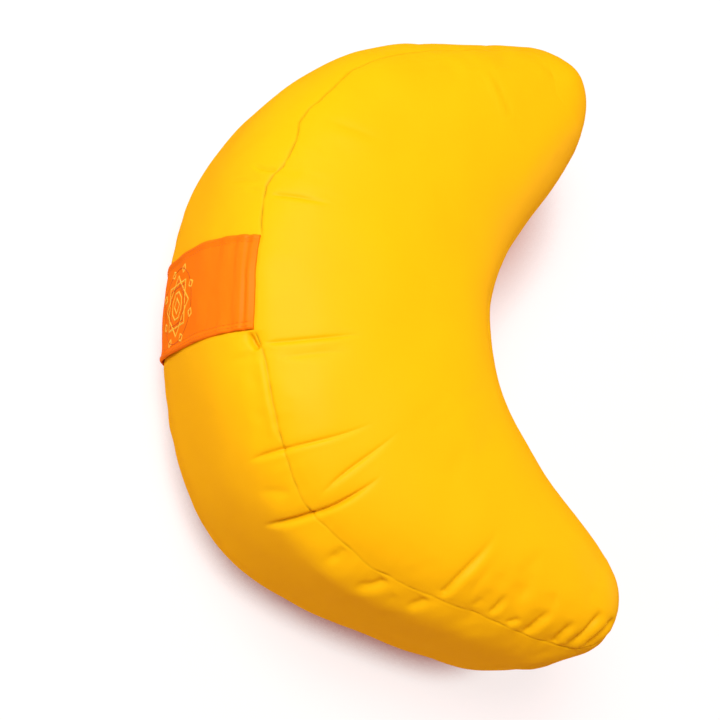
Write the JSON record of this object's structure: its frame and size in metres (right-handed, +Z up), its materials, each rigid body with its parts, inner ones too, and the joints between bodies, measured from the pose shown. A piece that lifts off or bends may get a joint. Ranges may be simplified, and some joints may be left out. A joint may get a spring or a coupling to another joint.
{
  "type": "crescent meditation cushion",
  "caption": "Filled crescent floor cushion with a crowned top, rounded horns, drawn-in seams round its side and a carrying band sewn over the back.",
  "frame": {"origin": "middle of the object's box, on the floor", "axes": "+X from horn to horn, +Y out of the bay, +Z up; the carrying band is on the -Y side"},
  "size_m": [0.4312, 0.2958, 0.1597],
  "materials": {
    "cushion_cloth": "matte",
    "band_cloth": "matte"
  },
  "bodies": {
    "root": {"cushion": "cushion_cloth", "handle_band": "band_cloth"}
  },
  "joints": []
}
